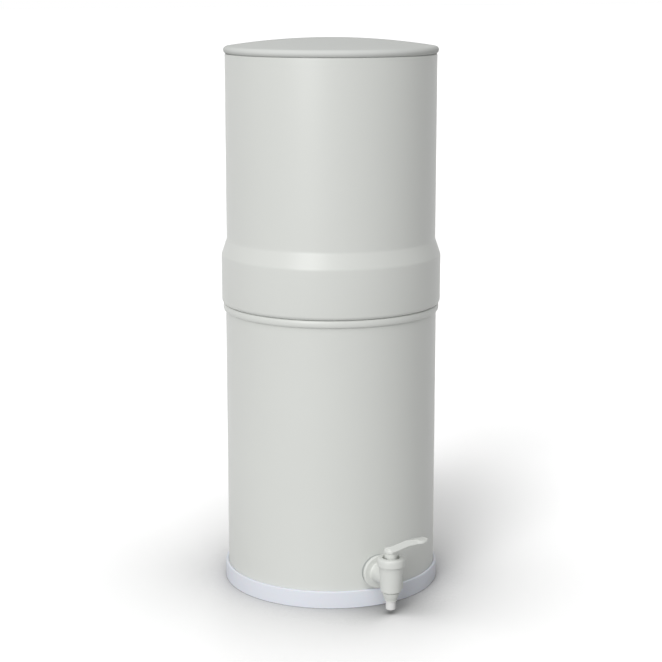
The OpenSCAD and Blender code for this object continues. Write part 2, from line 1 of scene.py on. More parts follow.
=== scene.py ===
import json
import math
import bpy
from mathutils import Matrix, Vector


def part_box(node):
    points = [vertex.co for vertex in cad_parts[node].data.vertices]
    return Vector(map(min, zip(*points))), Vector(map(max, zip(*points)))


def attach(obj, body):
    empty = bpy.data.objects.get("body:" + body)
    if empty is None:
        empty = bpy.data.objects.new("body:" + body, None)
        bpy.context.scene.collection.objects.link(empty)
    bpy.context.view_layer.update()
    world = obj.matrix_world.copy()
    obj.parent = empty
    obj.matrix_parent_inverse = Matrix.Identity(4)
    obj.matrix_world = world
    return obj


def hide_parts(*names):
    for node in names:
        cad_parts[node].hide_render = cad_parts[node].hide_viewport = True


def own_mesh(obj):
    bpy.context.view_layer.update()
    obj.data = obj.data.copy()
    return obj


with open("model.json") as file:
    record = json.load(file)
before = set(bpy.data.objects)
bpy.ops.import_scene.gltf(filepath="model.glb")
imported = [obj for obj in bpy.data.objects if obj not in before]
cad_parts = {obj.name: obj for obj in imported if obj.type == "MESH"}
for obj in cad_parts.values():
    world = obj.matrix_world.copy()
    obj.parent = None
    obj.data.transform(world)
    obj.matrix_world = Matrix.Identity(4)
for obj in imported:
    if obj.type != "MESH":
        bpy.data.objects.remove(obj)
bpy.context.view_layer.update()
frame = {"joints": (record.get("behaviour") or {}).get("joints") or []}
MM = 0.001


# The lower chamber is a drawn pot of 0.8 mm stainless sheet, powder coated outside
# and left bare inside. Its bottom is pushed up in the middle, and its rim is rolled
# outwards to a bead that the upper chamber stands on.
SHEET = 0.8 * MM
LOWER_R = 105 * MM
BEAD_R = 107.5 * MM
BEAD_H = 7.2 * MM
CORNER_R = 9 * MM
BOTTOM_LIFT = 2.5 * MM
FOOT_W = 12 * MM
FOOT_SLOPE = 5 * MM
BEND_R = 3 * MM
UP = Vector((0, 0, 1))


def arc(x, z, r, start, end, steps=12):
    """Points of an arc about (x, z), from angle start to angle end in degrees."""
    return oval(x, z, r, r, start, end, steps)


def oval(x, z, wide, high, start, end, steps=12):
    """Points of part of an oval about (x, z), with its half width and half height."""
    turns = [math.radians(start + (end - start) * i / steps) for i in range(steps + 1)]
    return [(x + wide * math.cos(a), z + high * math.sin(a)) for a in turns]


def rounded(corners, steps=8):
    """Open outline through corners (x, z, radius); a corner of two numbers stays sharp."""
    points = []
    for i, corner in enumerate(corners):
        here = Vector(corner[:2])
        if len(corner) < 3:
            points.append(tuple(here))
            continue
        before = (Vector(corners[i - 1][:2]) - here).normalized()
        after = (Vector(corners[(i + 1) % len(corners)][:2]) - here).normalized()
        half = before.angle(after) / 2
        centre = here + (before + after).normalized() * corner[2] / math.sin(half)
        start = here + before * corner[2] / math.tan(half) - centre
        end = here + after * corner[2] / math.tan(half) - centre
        first = math.degrees(math.atan2(start.y, start.x))
        turn = (math.degrees(math.atan2(end.y, end.x)) - first + 540) % 360 - 180
        points += arc(centre.x, centre.y, corner[2], first, first + turn, steps)
    return points


def drawn(name, points):
    """A new piece, left in edit mode, with a line through the points."""
    bpy.ops.object.select_all(action="DESELECT")
    bpy.ops.mesh.primitive_plane_add(size=MM)
    piece = bpy.context.object
    piece.name = name
    bpy.ops.object.mode_set(mode="EDIT")
    bpy.ops.mesh.merge(type="CENTER")
    bpy.ops.transform.translate(value=points[0])
    for before, after in zip(points, points[1:]):
        bpy.ops.mesh.extrude_region_move(TRANSFORM_OT_translate={"value": after - before})
    bpy.ops.mesh.select_all(action="SELECT")
    return piece


def tidied(piece):
    """Merges doubles, turns the faces outwards and leaves edit mode."""
    bpy.ops.mesh.select_all(action="SELECT")
    bpy.ops.mesh.remove_doubles(threshold=0.001 * MM)
    bpy.ops.mesh.normals_make_consistent(inside=False)
    bpy.ops.object.mode_set(mode="OBJECT")
    return piece


def spun(name, outline, foot=Vector(), axis=UP, radial=Vector((1, 0, 0)), steps=192, closed=False,
         facing=None):
    """Turns an outline of (radius, height) points once round the axis that rises from foot.
    The facing is where the outline's first stretch looks, as (radius, height), on an open sheet."""
    places = [foot + radial * r + axis * h for r, h in outline + (outline[:1] if closed else [])]
    piece = drawn(name, places)
    bpy.ops.mesh.spin(steps=steps, angle=2 * math.pi, center=foot, axis=axis)
    tidied(piece)
    if facing:
        middle = (places[0] + places[1]) / 2
        nearest = min(piece.data.polygons, key=lambda face: (face.center - middle).length)
        if nearest.normal.dot(radial * facing[0] + axis * facing[1]) < 0:
            bpy.ops.object.mode_set(mode="EDIT")
            bpy.ops.mesh.select_all(action="SELECT")
            bpy.ops.mesh.flip_normals()
            bpy.ops.object.mode_set(mode="OBJECT")
    return piece


def picked(piece):
    """Selects this piece alone and makes it the active one."""
    bpy.ops.object.select_all(action="DESELECT")
    piece.select_set(True)
    bpy.context.view_layer.objects.active = piece


def finished(piece, modifier):
    """Applies a modifier to its piece."""
    bpy.context.view_layer.objects.active = piece
    bpy.ops.object.modifier_apply(modifier=modifier.name)


def walled(piece, thickness):
    """Gives a sheet its thickness inwards; the inner face takes the second material."""
    wall = piece.modifiers.new("wall", "SOLIDIFY")
    wall.thickness = thickness
    wall.offset = -1
    wall.use_even_offset = True
    wall.material_offset = 1
    finished(piece, wall)


def combined(piece, tool, operation):
    """Joins the tool to the piece, or cuts it out, and removes the tool."""
    join = piece.modifiers.new("join", "BOOLEAN")
    join.operation = operation
    join.object = tool
    join.solver = "EXACT"
    finished(piece, join)
    bpy.data.objects.remove(tool)
    return piece


def made_of(piece, *materials):
    """Gives the piece its materials in place of any it had."""
    piece.data.materials.clear()
    for made in materials:
        piece.data.materials.append(made)
    return piece


def fitted(piece, body, slot, *nodes, angle=35):
    """Shades the finished piece and puts it on its body in place of the nodes."""
    picked(piece)
    bpy.ops.object.shade_smooth_by_angle(angle=math.radians(angle))
    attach(piece, body)
    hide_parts(*nodes)


def colour(hex_value):
    """An sRGB hex colour as the linear RGBA that the shader takes."""
    parts = [int(hex_value[i:i + 2], 16) / 255 for i in (1, 3, 5)]
    return [p / 12.92 if p <= 0.04045 else ((p + 0.055) / 1.055) ** 2.4 for p in parts] + [1]


def add_node(tree, kind, inputs={}, **settings):
    """Adds a shader node, sets it and links or fills its inputs."""
    made = tree.nodes.new("ShaderNode" + kind)
    for key, value in settings.items():
        setattr(made, key, value)
    for key, value in inputs.items():
        if isinstance(value, bpy.types.NodeSocket):
            tree.links.new(value, made.inputs[key])
        else:
            made.inputs[key].default_value = value
    return made


def surface(name, tone, tone_low, patch, roughness, grain, relief, specular=0.5):
    """A dyed or coated surface: two near tones in soft patches, and a fine grain in relief.
    The patch and the grain are sizes in metres."""
    made = bpy.data.materials.new(name)
    made.use_nodes = True
    tree = made.node_tree
    shader = tree.nodes["Principled BSDF"]
    place = add_node(tree, "TexCoord").outputs["Object"]
    tones = add_node(tree, "TexNoise", {"Vector": place, "Scale": 1 / patch, "Detail": 2.0})
    mixed = add_node(tree, "Mix", {"Factor": tones.outputs["Fac"]}, data_type="RGBA")
    mixed.inputs["A"].default_value = colour(tone_low)
    mixed.inputs["B"].default_value = colour(tone)
    tree.links.new(mixed.outputs["Result"], shader.inputs["Base Color"])
    shader.inputs["Roughness"].default_value = roughness
    shader.inputs["Specular IOR Level"].default_value = specular
    grains = add_node(tree, "TexNoise", {"Vector": place, "Scale": 1 / grain, "Detail": 1.0})
    bump = add_node(tree, "Bump", {"Height": grains.outputs["Fac"], "Strength": relief,
                                   "Distance": grain * 0.1})
    tree.links.new(bump.outputs["Normal"], shader.inputs["Normal"])
    return made


# Powder coat: polyester powder baked on, a pale warm grey with a satin face and the
# fine orange-peel ripple, about 1.5 mm across, that melting powder leaves.
COAT = surface("powder coated steel", "#dfe1dd", "#dbddd9", 110 * MM, 0.38, 1.5 * MM, 0.06)


# Bare stainless steel: polished round the axis by a belt, so its fine lines run level.
# They are drawn 0.4 mm apart, coarser than real ones, so that they show.
BRUSH_LINE = 0.4 * MM
BRUSH_RELIEF = 0.05 * MM


def brushed_steel():
    made = bpy.data.materials.new("brushed stainless steel")
    made.use_nodes = True
    tree = made.node_tree
    shader = tree.nodes["Principled BSDF"]
    place = add_node(tree, "TexCoord").outputs["Object"]
    split = add_node(tree, "SeparateXYZ", {"Vector": place})
    lines = add_node(tree, "TexNoise", {"W": split.outputs["Z"], "Scale": 1 / BRUSH_LINE, "Detail": 2.0},
                     noise_dimensions="1D")
    rough = add_node(tree, "MapRange", {"Value": lines.outputs["Fac"], "To Min": 0.24, "To Max": 0.4})
    tree.links.new(rough.outputs["Result"], shader.inputs["Roughness"])
    shader.inputs["Base Color"].default_value = colour("#c9cacb")
    shader.inputs["Metallic"].default_value = 1
    bump = add_node(tree, "Bump", {"Height": lines.outputs["Fac"], "Strength": 0.15,
                                   "Distance": BRUSH_RELIEF})
    tree.links.new(bump.outputs["Normal"], shader.inputs["Normal"])
    return made


STEEL = brushed_steel()
LOWER_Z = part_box("lower_chamber")[0].z
RIM_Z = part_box("lower_chamber")[1].z
TAP_Z = (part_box("tap_outer_gasket")[0].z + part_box("tap_outer_gasket")[1].z) / 2
TAP_Y = (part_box("nozzle")[0].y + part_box("nozzle")[1].y) / 2
HOLE_R = 8.1 * MM
HOLE_END = 1.2 * LOWER_R
OUTWARDS = Vector((0, -1, 0))
bead_mid = (BEAD_R + LOWER_R - SHEET) / 2
bead_z = RIM_Z - BEAD_H / 2
foot_r = LOWER_R - CORNER_R - FOOT_W

lower = spun("lower_pot", rounded([
    (0, LOWER_Z + BOTTOM_LIFT), (foot_r - FOOT_SLOPE, LOWER_Z + BOTTOM_LIFT, BEND_R),
    (foot_r, LOWER_Z, BEND_R), (LOWER_R, LOWER_Z, CORNER_R), (LOWER_R, TAP_Z - 2 * HOLE_R),
    (LOWER_R, TAP_Z + 2 * HOLE_R), (LOWER_R, bead_z)])
    + oval(bead_mid, bead_z, bead_mid - LOWER_R, BEAD_H / 2 - SHEET, 180, -110, 24)[1:], facing=(0, -1))
made_of(lower, COAT, STEEL)
walled(lower, SHEET)
# The coat reaches over the bead, which the sheet's inner face shows on the outside.
for face in lower.data.polygons:
    if face.center.z > bead_z - BEAD_H and face.center.xy.length > LOWER_R - SHEET / 2:
        face.material_index = 0
hole = spun("hole", [(0, 0), (HOLE_R, 0), (HOLE_R, HOLE_END), (0, HOLE_END)],
            foot=Vector((0, 0, TAP_Z)), axis=OUTWARDS, steps=48)
combined(lower, hole, "DIFFERENCE")
fitted(lower, "root", "powder_coated_steel", "lower_chamber")


# The foot ring is a thick band of soft silicone, moulded in one piece. It is stretched
# over the lower chamber's bottom corner, and the pot stands on its inner flange.
RING_WALL = 3 * MM
RING_FLOOR = 2.5 * MM
RING_FLOOR_W = 20 * MM
RING_LIP = 1.35 * MM
RING_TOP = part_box("base_ring")[1].z
# Silicone rubber: a cool bluish white, faintly dull, with a soft moulded skin.
SILICONE = surface("white silicone rubber", "#e6e9f0", "#e3e6ee", 60 * MM, 0.5, 0.9 * MM, 0.05, 0.35)
SILICONE.node_tree.nodes["Principled BSDF"].inputs["Subsurface Weight"].default_value = 0.1
SILICONE.node_tree.nodes["Principled BSDF"].inputs["Subsurface Scale"].default_value = 2 * MM

ring_r = LOWER_R + RING_WALL
foot_ring = spun("foot_ring", rounded([
    (ring_r - RING_FLOOR_W, 0, RING_LIP / 3), (ring_r, 0, RING_LIP / 2), (ring_r, RING_TOP, RING_LIP),
    (LOWER_R, RING_TOP, RING_LIP), (LOWER_R, RING_FLOOR, CORNER_R),
    (ring_r - RING_FLOOR_W, RING_FLOOR, RING_LIP / 3)]), closed=True)
made_of(foot_ring, SILICONE)
fitted(foot_ring, "root", "silicone_ring", "base_ring")


# The upper chamber is drawn and spun from the same sheet. Its narrow lower end drops
# into the lower chamber, its ledge stands on the bead, and its top edge is a folded hem.
SPIGOT_R = 103.4 * MM
SPIGOT_CORNER = 8 * MM
BAND_R = 108.83 * MM
BAND_H = 48.6 * MM
SHOULDER_IN = 5.25 * MM
SHOULDER_H = 15.25 * MM
SHOULDER_R = 9 * MM
LEDGE_GAP = 0.2 * MM
LEDGE_SHARES = (0.27, 0.7)
HEM_R = 0.95 * MM
HEM_H = 6 * MM
CANDLE_X = (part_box("candle_core_right")[0].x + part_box("candle_core_right")[1].x) / 2
STEM_HOLE_R = 6.3 * MM
UPPER_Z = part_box("upper_chamber")[0].z
UPPER_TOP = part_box("upper_chamber")[1].z

ledge_z = RIM_Z + LEDGE_GAP
upper_r = BAND_R - SHOULDER_IN
upper = spun("upper_pot", rounded([
    (0, UPPER_Z), (SPIGOT_R, UPPER_Z, SPIGOT_CORNER),
    (SPIGOT_R, ledge_z, (BAND_R - SPIGOT_R) * LEDGE_SHARES[0]),
    (BAND_R, ledge_z, (BAND_R - SPIGOT_R) * LEDGE_SHARES[1]),
    (BAND_R, ledge_z + BAND_H, SHOULDER_R), (upper_r, ledge_z + BAND_H + SHOULDER_H, SHOULDER_R),
    (upper_r, UPPER_TOP - HEM_R)])
    + arc(upper_r - HEM_R, UPPER_TOP - HEM_R, HEM_R, 0, 180)[1:]
    + [(upper_r - 2 * HEM_R, UPPER_TOP - HEM_H)], facing=(0, -1))
made_of(upper, COAT, STEEL)
walled(upper, SHEET)
for side in (-1, 1):
    hole = spun("hole", [(0, -CORNER_R), (STEM_HOLE_R, -CORNER_R), (STEM_HOLE_R, CORNER_R), (0, CORNER_R)],
                foot=Vector((side * CANDLE_X, 0, UPPER_Z)), steps=48)
    combined(upper, hole, "DIFFERENCE")
fitted(upper, "upper", "powder_coated_steel", "upper_chamber")


# The lid is a shallow dome pressed from the sheet, powder coated outside, with its edge
# rolled round and under to a soft rim that rests on the upper chamber's hem.
RIM_R = 3.65 * MM
RIM_X = 101.28 * MM
DOME_RISE = 7.96 * MM
DOME_STEPS = 32
LID_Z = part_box("lid")[0].z
# The same powder coat, drawn duller here, because the nearly level lid is seen at a low
# angle, where a full shine would mirror the surround.
LID_COAT = surface("powder coated lid", "#dfe1de", "#dbddda", 90 * MM, 0.6, 1.5 * MM, 0.06, 0.01)

rim_z = LID_Z + RIM_R
rim_slope = math.degrees(math.atan(2 * DOME_RISE / RIM_X))
dome_r = RIM_X + RIM_R * math.sin(math.radians(rim_slope))
dome_z = rim_z + RIM_R * math.cos(math.radians(rim_slope))
dome = [(dome_r * i / DOME_STEPS, dome_z + DOME_RISE * (1 - (i / DOME_STEPS) ** 2))
        for i in range(DOME_STEPS + 1)]
lid = spun("lid_dome", dome + arc(RIM_X, rim_z, RIM_R, 90 - rim_slope, -90, 20)[1:], facing=(0, 1))
made_of(lid, LID_COAT, STEEL)
walled(lid, SHEET)
fitted(lid, "lid", "powder_coated_steel", "lid")


# Inside the lid a short steel skirt, spot welded into the rolled rim, drops inside the
# upper chamber's hem and keeps the lid in the middle.
SKIRT_R = 101.08 * MM
NEST_R = 2.8 * MM
SKIRT_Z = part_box("lid_locating_ring")[0].z
skirt = spun("lid_skirt", [(SKIRT_R, SKIRT_Z), (SKIRT_R, rim_z - NEST_R)]
             + arc(RIM_X, rim_z, NEST_R, -90, -20), facing=(1, 0))
made_of(skirt, STEEL, STEEL)
walled(skirt, SHEET)
fitted(skirt, "lid", "brushed_steel", "lid_locating_ring")


# Each candle is a hollow shell of fired porous ceramic with a domed end, round a block
# of pressed carbon, and both are glued into a white plastic base with a threaded stem.
CANDLE_R = 27 * MM
CANDLE_H = 170 * MM
CERAMIC_T = 8 * MM
DOME_SHARE = 0.8
SHELL_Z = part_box("candle_shell_right")[0].z
# Porous ceramic: chalky off-white, quite dull, with pores and press grain that show close up.
CERAMIC = surface("porous fired ceramic", "#f3f0e8", "#e9e5db", 9 * MM, 0.85, 0.8 * MM, 0.35, 0.25)
# Pressed carbon: near black and dull, with the sparkle of coarse grains.
CARBON = surface("pressed carbon block", "#2f2f31", "#1c1c1e", 1.2 * MM, 0.7, 0.7 * MM, 0.6, 0.4)


# Where the thread's crest starts and ends and its root starts, as shares of the pitch.
THREAD_SHARES = (0.4, 0.55, 0.95)


def threaded(name, r, depth, pitch, low, high, lying=False):
    """A rod with a real thread on it, between heights low and high along its axis."""
    rise, fall, root = THREAD_SHARES
    groove = [(r - depth, 0), (r, rise), (r, fall), (r - depth, root), (r - depth, 1)]
    axis = OUTWARDS if lying else UP
    piece = drawn(name, [Vector((x, 0, 0)) + axis * (low + (z - 1) * pitch) for x, z in groove])
    bpy.ops.object.mode_set(mode="OBJECT")
    screw = piece.modifiers.new("thread", "SCREW")
    screw.axis = "Y" if lying else "Z"
    screw.screw_offset = -pitch if lying else pitch
    screw.iterations = math.ceil((high - low) / pitch) + 2
    screw.steps = screw.render_steps = 40
    finished(piece, screw)
    bpy.ops.object.mode_set(mode="EDIT")
    bpy.ops.mesh.select_all(action="SELECT")
    bpy.ops.mesh.remove_doubles(threshold=0.001 * MM)
    for height, clears in ((low, "clear_inner"), (high, "clear_outer")):
        bpy.ops.mesh.select_all(action="SELECT")
        bpy.ops.mesh.bisect(plane_co=axis * height, plane_no=axis, use_fill=True,
                            threshold=0.0001 * MM, **{clears: True})
    return tidied(piece)


def moved(piece, step):
    """Moves the whole mesh and leaves the object at the origin."""
    picked(piece)
    bpy.ops.transform.translate(value=step)
    bpy.ops.object.transform_apply(location=True, rotation=False, scale=False)
    return piece


def twin(piece, name):
    """A copy with its own mesh on the other candle's place."""
    copy = piece.copy()
    copy.data = piece.data.copy()
    copy.name = name
    bpy.context.collection.objects.link(copy)
    return moved(copy, Vector((-2 * CANDLE_X, 0, 0)))


right = Vector((CANDLE_X, 0, 0))
dome_low = SHELL_Z + CANDLE_H - CANDLE_R * DOME_SHARE
inner_r = CANDLE_R - CERAMIC_T
shell = spun("candle_shell_a", oval(0, dome_low, CANDLE_R, CANDLE_R * DOME_SHARE, 90, 0, 16)
             + [(CANDLE_R, SHELL_Z), (inner_r, SHELL_Z)]
             + oval(0, dome_low, inner_r, inner_r * DOME_SHARE, 0, 90, 12), foot=right, steps=96)
made_of(shell, CERAMIC)
for piece, side in ((shell, "right"), (twin(shell, "candle_shell_b"), "left")):
    fitted(piece, "upper", "ceramic", "candle_shell_" + side)

core_low, core_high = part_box("candle_core_right")
core_r = (core_high.x - core_low.x) / 2
CORE_BORE_R = 3 * MM
CORE_EDGE = 0.8 * MM
core = spun("candle_core_a", rounded([
    (CORE_BORE_R, core_low.z), (core_r, core_low.z, CORE_EDGE), (core_r, core_high.z, CORE_EDGE),
    (0, core_high.z), (0, core_high.z - 2 * CERAMIC_T), (CORE_BORE_R, core_high.z - 2 * CERAMIC_T)], 3),
    foot=right, steps=64, closed=True)
made_of(core, CARBON)
for piece, side in ((core, "right"), (twin(core, "candle_core_b"), "left")):
    fitted(piece, "upper", "carbon_block", "candle_core_" + side)

# White polypropylene, as moulded: slightly waxy, with a faint cloudiness.
WHITE_PLASTIC = surface("white polypropylene", "#f1f1ee", "#ecece9", 14 * MM, 0.38, 0.6 * MM, 0.05)
CUP_R = 29.25 * MM
CUP_H = 12 * MM
CUP_WALL = 2 * MM
STEM_R = 6 * MM
STEM_BORE_R = 3 * MM
THREAD_DEPTH = 0.55 * MM
THREAD_PITCH = 1.75 * MM
RIB_DEPTH = 0.4 * MM
RIB_SHARES = (0.62, 0.66, 0.76, 0.8)
base_low, base_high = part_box("candle_base_right")
cup_z = base_high.z - CUP_H
cup = spun("candle_base_a", rounded([
    (STEM_BORE_R, UPPER_Z), (STEM_R, UPPER_Z), (STEM_R, cup_z), (CUP_R, cup_z, CUP_WALL / 2),
    (CUP_R, cup_z + CUP_H * RIB_SHARES[0]), (CUP_R - RIB_DEPTH, cup_z + CUP_H * RIB_SHARES[1]),
    (CUP_R - RIB_DEPTH, cup_z + CUP_H * RIB_SHARES[2]), (CUP_R, cup_z + CUP_H * RIB_SHARES[3]),
    (CUP_R, base_high.z, CUP_WALL / 3), (CUP_R - CUP_WALL, base_high.z),
    (CUP_R - CUP_WALL, SHELL_Z), (STEM_BORE_R, SHELL_Z)], 5), foot=right, steps=96, closed=True)
stem = moved(threaded("stem", STEM_R, THREAD_DEPTH, THREAD_PITCH, base_low.z, UPPER_Z + SHEET), right)
bore = spun("bore", [(0, base_low.z - CUP_H), (STEM_BORE_R, base_low.z - CUP_H),
                     (STEM_BORE_R, SHELL_Z + SHEET), (0, SHELL_Z + SHEET)], foot=right, steps=48)
combined(cup, stem, "UNION")
combined(cup, bore, "DIFFERENCE")
made_of(cup, WHITE_PLASTIC)
for piece, side in ((cup, "right"), (twin(cup, "candle_base_b"), "left")):
    fitted(piece, "upper", "white_plastic", "candle_base_" + side)


# A flat silicone washer seals each candle's stem to the upper chamber's bottom, and a
# moulded wing nut on the stem below pulls it tight by hand.
WASHER_R = 11 * MM
washer_low, washer_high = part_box("candle_washers")
WASHER_EDGE = 0.5 * MM
STEM_SLIP = 0.1 * MM
stem_slip_r = STEM_R + STEM_SLIP
# Grey silicone: a flat mid grey without shine, and hardly any grain.
GASKET = surface("grey silicone gasket", "#a9adab", "#a3a7a5", 20 * MM, 0.55, 0.7 * MM, 0.08, 0.35)


def washer(side):
    outline = rounded([(stem_slip_r, washer_low.z), (WASHER_R, washer_low.z, WASHER_EDGE),
                       (WASHER_R, washer_high.z, WASHER_EDGE), (stem_slip_r, washer_high.z)], 4)
    return spun("candle_washers", outline, foot=right * side, steps=64, closed=True)


washers = made_of(combined(washer(1), washer(-1), "UNION"), GASKET)
fitted(washers, "upper", "silicone_gasket", "candle_washers")

NUT_R = 9.5 * MM
NUT_H = 9 * MM
NUT_EDGE = 0.8 * MM
WING_W = 9 * MM
WING_H = 14 * MM
WING_T = 2.6 * MM
WING_GAP = 0.3 * MM
WING_EDGE = 0.7 * MM
nut_z = UPPER_Z - NUT_H


def prism(name, points, depth):
    """A closed outline of places, drawn out by depth to a solid."""
    piece = drawn(name, points)
    bpy.ops.mesh.edge_face_add()
    bpy.ops.mesh.extrude_region_move(TRANSFORM_OT_translate={"value": depth})
    return tidied(piece)


def bevelled(piece, width, segments=3, angle=40):
    """Rounds the edges sharper than the angle."""
    bevel = piece.modifiers.new("edges", "BEVEL")
    bevel.width = width
    bevel.segments = segments
    bevel.limit_method = "ANGLE"
    bevel.angle_limit = math.radians(angle)
    finished(piece, bevel)
    return piece


def wing_nut(side):
    foot = right * side
    nut = spun("wing_nuts", rounded([
        (stem_slip_r, nut_z), (NUT_R, nut_z, NUT_EDGE), (NUT_R, UPPER_Z, NUT_EDGE / 2),
        (stem_slip_r, UPPER_Z)], 4), foot=foot, steps=64, closed=True)
    root = NUT_R - WING_T / 2
    top = UPPER_Z - WING_GAP
    for way in (-1, 1):
        wing = rounded([(root, nut_z + MM), (root + WING_W, top - WING_H, WING_W / 3),
                        (root + WING_W, top, WING_W / 3), (root, UPPER_Z - MM)], 6)
        flat = [foot + Vector((way * x, -WING_T / 2, z)) for x, z in wing]
        combined(nut, bevelled(prism("wing", flat, Vector((0, WING_T, 0))), WING_EDGE), "UNION")
    return nut


wing_nuts = made_of(combined(wing_nut(1), wing_nut(-1), "UNION"), WHITE_PLASTIC)
fitted(wing_nuts, "upper", "white_plastic", "wing_nuts")


# The tap's body is one moulding of hard plastic, dyed to match the coat: a tapering
# barrel with a rib, a neck with a round flange, and a threaded shank through the wall.
BARREL_R = 11.75 * MM
BARREL_FOOT_R = 10 * MM
BARREL_TOP = 48.9 * MM
BARREL_FOOT = 23.3 * MM
BARREL_EDGE = 0.5 * MM
CHAMBER_R = 7.7 * MM
CHAMBER_FLOOR = 29.5 * MM
SOCKET_R = 8.7 * MM
SOCKET_H = 6 * MM
SEAT_R = 4.4 * MM
SEAT_H = 1 * MM
OUTLET_R = 3.2 * MM
SPIGOT_OUT_R = 5.3 * MM
FLANGE_R = 16.7 * MM
FLANGE_T = 3.2 * MM
FLANGE_LIP = 1.2 * MM
GASKET_T = 2.5 * MM
HUB_R = 8.7 * MM
SHANK_R = 8 * MM
SHANK_PITCH = 2 * MM
SHANK_DEPTH = 0.7 * MM
WATERWAY_R = 4 * MM
TAP_RIB_W = 2.6 * MM
TAP_RIB_R = 12.9 * MM
BARREL_GRAIN = 0.35 * MM
# Hard moulded plastic: the coat's own grey, a touch warmer and smoother, with a fine
# spark-eroded mould texture and a soft sheen.
TAP_PLASTIC = surface("dyed hard plastic", "#dfe1dd", "#dcdeda", 18 * MM, 0.4, 0.5 * MM, 0.06)

tap = Vector((0, TAP_Y, 0))
tap_line = Vector((0, 0, TAP_Z))
flange_y = LOWER_R + GASKET_T
shank_end = -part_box("tap_body")[1].y
body_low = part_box("tap_body")[0].z

barrel = spun("tap_barrel", rounded([
    (OUTLET_R, body_low), (SPIGOT_OUT_R, body_low), (SPIGOT_OUT_R, BARREL_FOOT),
    (BARREL_FOOT_R, BARREL_FOOT, BARREL_EDGE), (BARREL_R, BARREL_TOP, BARREL_EDGE / 2),
    (SOCKET_R, BARREL_TOP), (SOCKET_R, BARREL_TOP - SOCKET_H), (CHAMBER_R, BARREL_TOP - SOCKET_H),
    (CHAMBER_R, CHAMBER_FLOOR), (SEAT_R, CHAMBER_FLOOR), (SEAT_R, CHAMBER_FLOOR + SEAT_H),
    (OUTLET_R, CHAMBER_FLOOR + SEAT_H)], 5), foot=tap, steps=96, closed=True)
neck = spun("neck", rounded([
    (0, flange_y - SHEET), (HUB_R, flange_y - SHEET), (HUB_R, flange_y),
    (FLANGE_R, flange_y, FLANGE_LIP / 3), (FLANGE_R, flange_y + FLANGE_T, FLANGE_LIP),
    (HUB_R + FLANGE_LIP, flange_y + FLANGE_T, FLANGE_LIP), (HUB_R, -TAP_Y - CHAMBER_R),
    (0, -TAP_Y - CHAMBER_R)], 5), foot=tap_line, axis=OUTWARDS, steps=96)
rib_foot = BARREL_FOOT + BARREL_EDGE
rib = [tap + Vector((x, -TAP_RIB_W / 2, z)) for x, z in (
    (CHAMBER_R + MM, rib_foot), (TAP_RIB_R, rib_foot), (TAP_RIB_R, BARREL_TOP - MM),
    (CHAMBER_R + MM, BARREL_TOP - MM))]
combined(barrel, prism("rib", rib, Vector((0, TAP_RIB_W, 0))), "UNION")
combined(barrel, neck, "UNION")
waterway = spun("waterway", [(0, 0), (WATERWAY_R, 0), (WATERWAY_R, -TAP_Y), (0, -TAP_Y)],
                foot=tap_line, axis=OUTWARDS, steps=48)
combined(barrel, waterway, "DIFFERENCE")


def moulded(piece, grain, passes):
    """Softens every edge and inner corner, as a mould does, by a fine mesh and smoothing."""
    fine = piece.modifiers.new("fine", "REMESH")
    fine.mode = "VOXEL"
    fine.voxel_size = grain
    finished(piece, fine)
    soft = piece.modifiers.new("soft", "SMOOTH")
    soft.factor = 0.5
    soft.iterations = passes
    finished(piece, soft)
    return piece


moulded(barrel, BARREL_GRAIN, passes=3)
shank = moved(threaded("shank", SHANK_R, SHANK_DEPTH, SHANK_PITCH, shank_end, flange_y + MM, lying=True),
              tap_line)
bore_end = flange_y + 2 * MM
waterway = spun("waterway", [(0, 0), (WATERWAY_R, 0), (WATERWAY_R, bore_end), (0, bore_end)],
                foot=tap_line, axis=OUTWARDS, steps=48)
combined(shank, waterway, "DIFFERENCE")
combined(barrel, shank, "UNION")
made_of(barrel, TAP_PLASTIC)
fitted(barrel, "root", "tap_plastic", "tap_body", angle=40)


# A silicone gasket sits on each side of the chamber's wall, cut to its curve, and a
# plastic backnut on the shank pulls the tap tight from inside.
outer_low, outer_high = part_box("tap_outer_gasket")
inner_low, inner_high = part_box("tap_inner_gasket")
GASKET_HOLE_R = 8.1 * MM
GASKET_EDGE = 0.4 * MM


def gasket(name, r, painted_occlusion, far, wall_r, outside):
    """A flat ring along the shank, with the chamber's curve cut into the side that meets it."""
    flat, edge = (painted_occlusion, far) if outside else (far, painted_occlusion)
    ring = spun(name, rounded([(GASKET_HOLE_R, flat), (r, flat), (r, edge, GASKET_EDGE),
                               (GASKET_HOLE_R, edge)], 4),
                foot=tap_line, axis=OUTWARDS, steps=96, closed=True)
    wall = spun("wall", [(0, 0), (wall_r, 0), (wall_r, TAP_Z * 2), (0, TAP_Z * 2)], steps=720)
    return combined(ring, wall, "DIFFERENCE" if outside else "INTERSECT")


outer_r = (outer_high.x - outer_low.x) / 2
outer_gasket = gasket("tap_outer_gasket_ring", outer_r, LOWER_R - GASKET_T, flange_y, LOWER_R, True)
made_of(outer_gasket, GASKET)
fitted(outer_gasket, "root", "silicone_gasket", "tap_outer_gasket")
inner_r = (inner_high.x - inner_low.x) / 2
nut_y = -inner_high.y
inner_gasket = gasket("tap_inner_gasket_ring", inner_r, nut_y, LOWER_R, LOWER_R - SHEET, False)
made_of(inner_gasket, GASKET)
fitted(inner_gasket, "root", "silicone_gasket", "tap_inner_gasket")

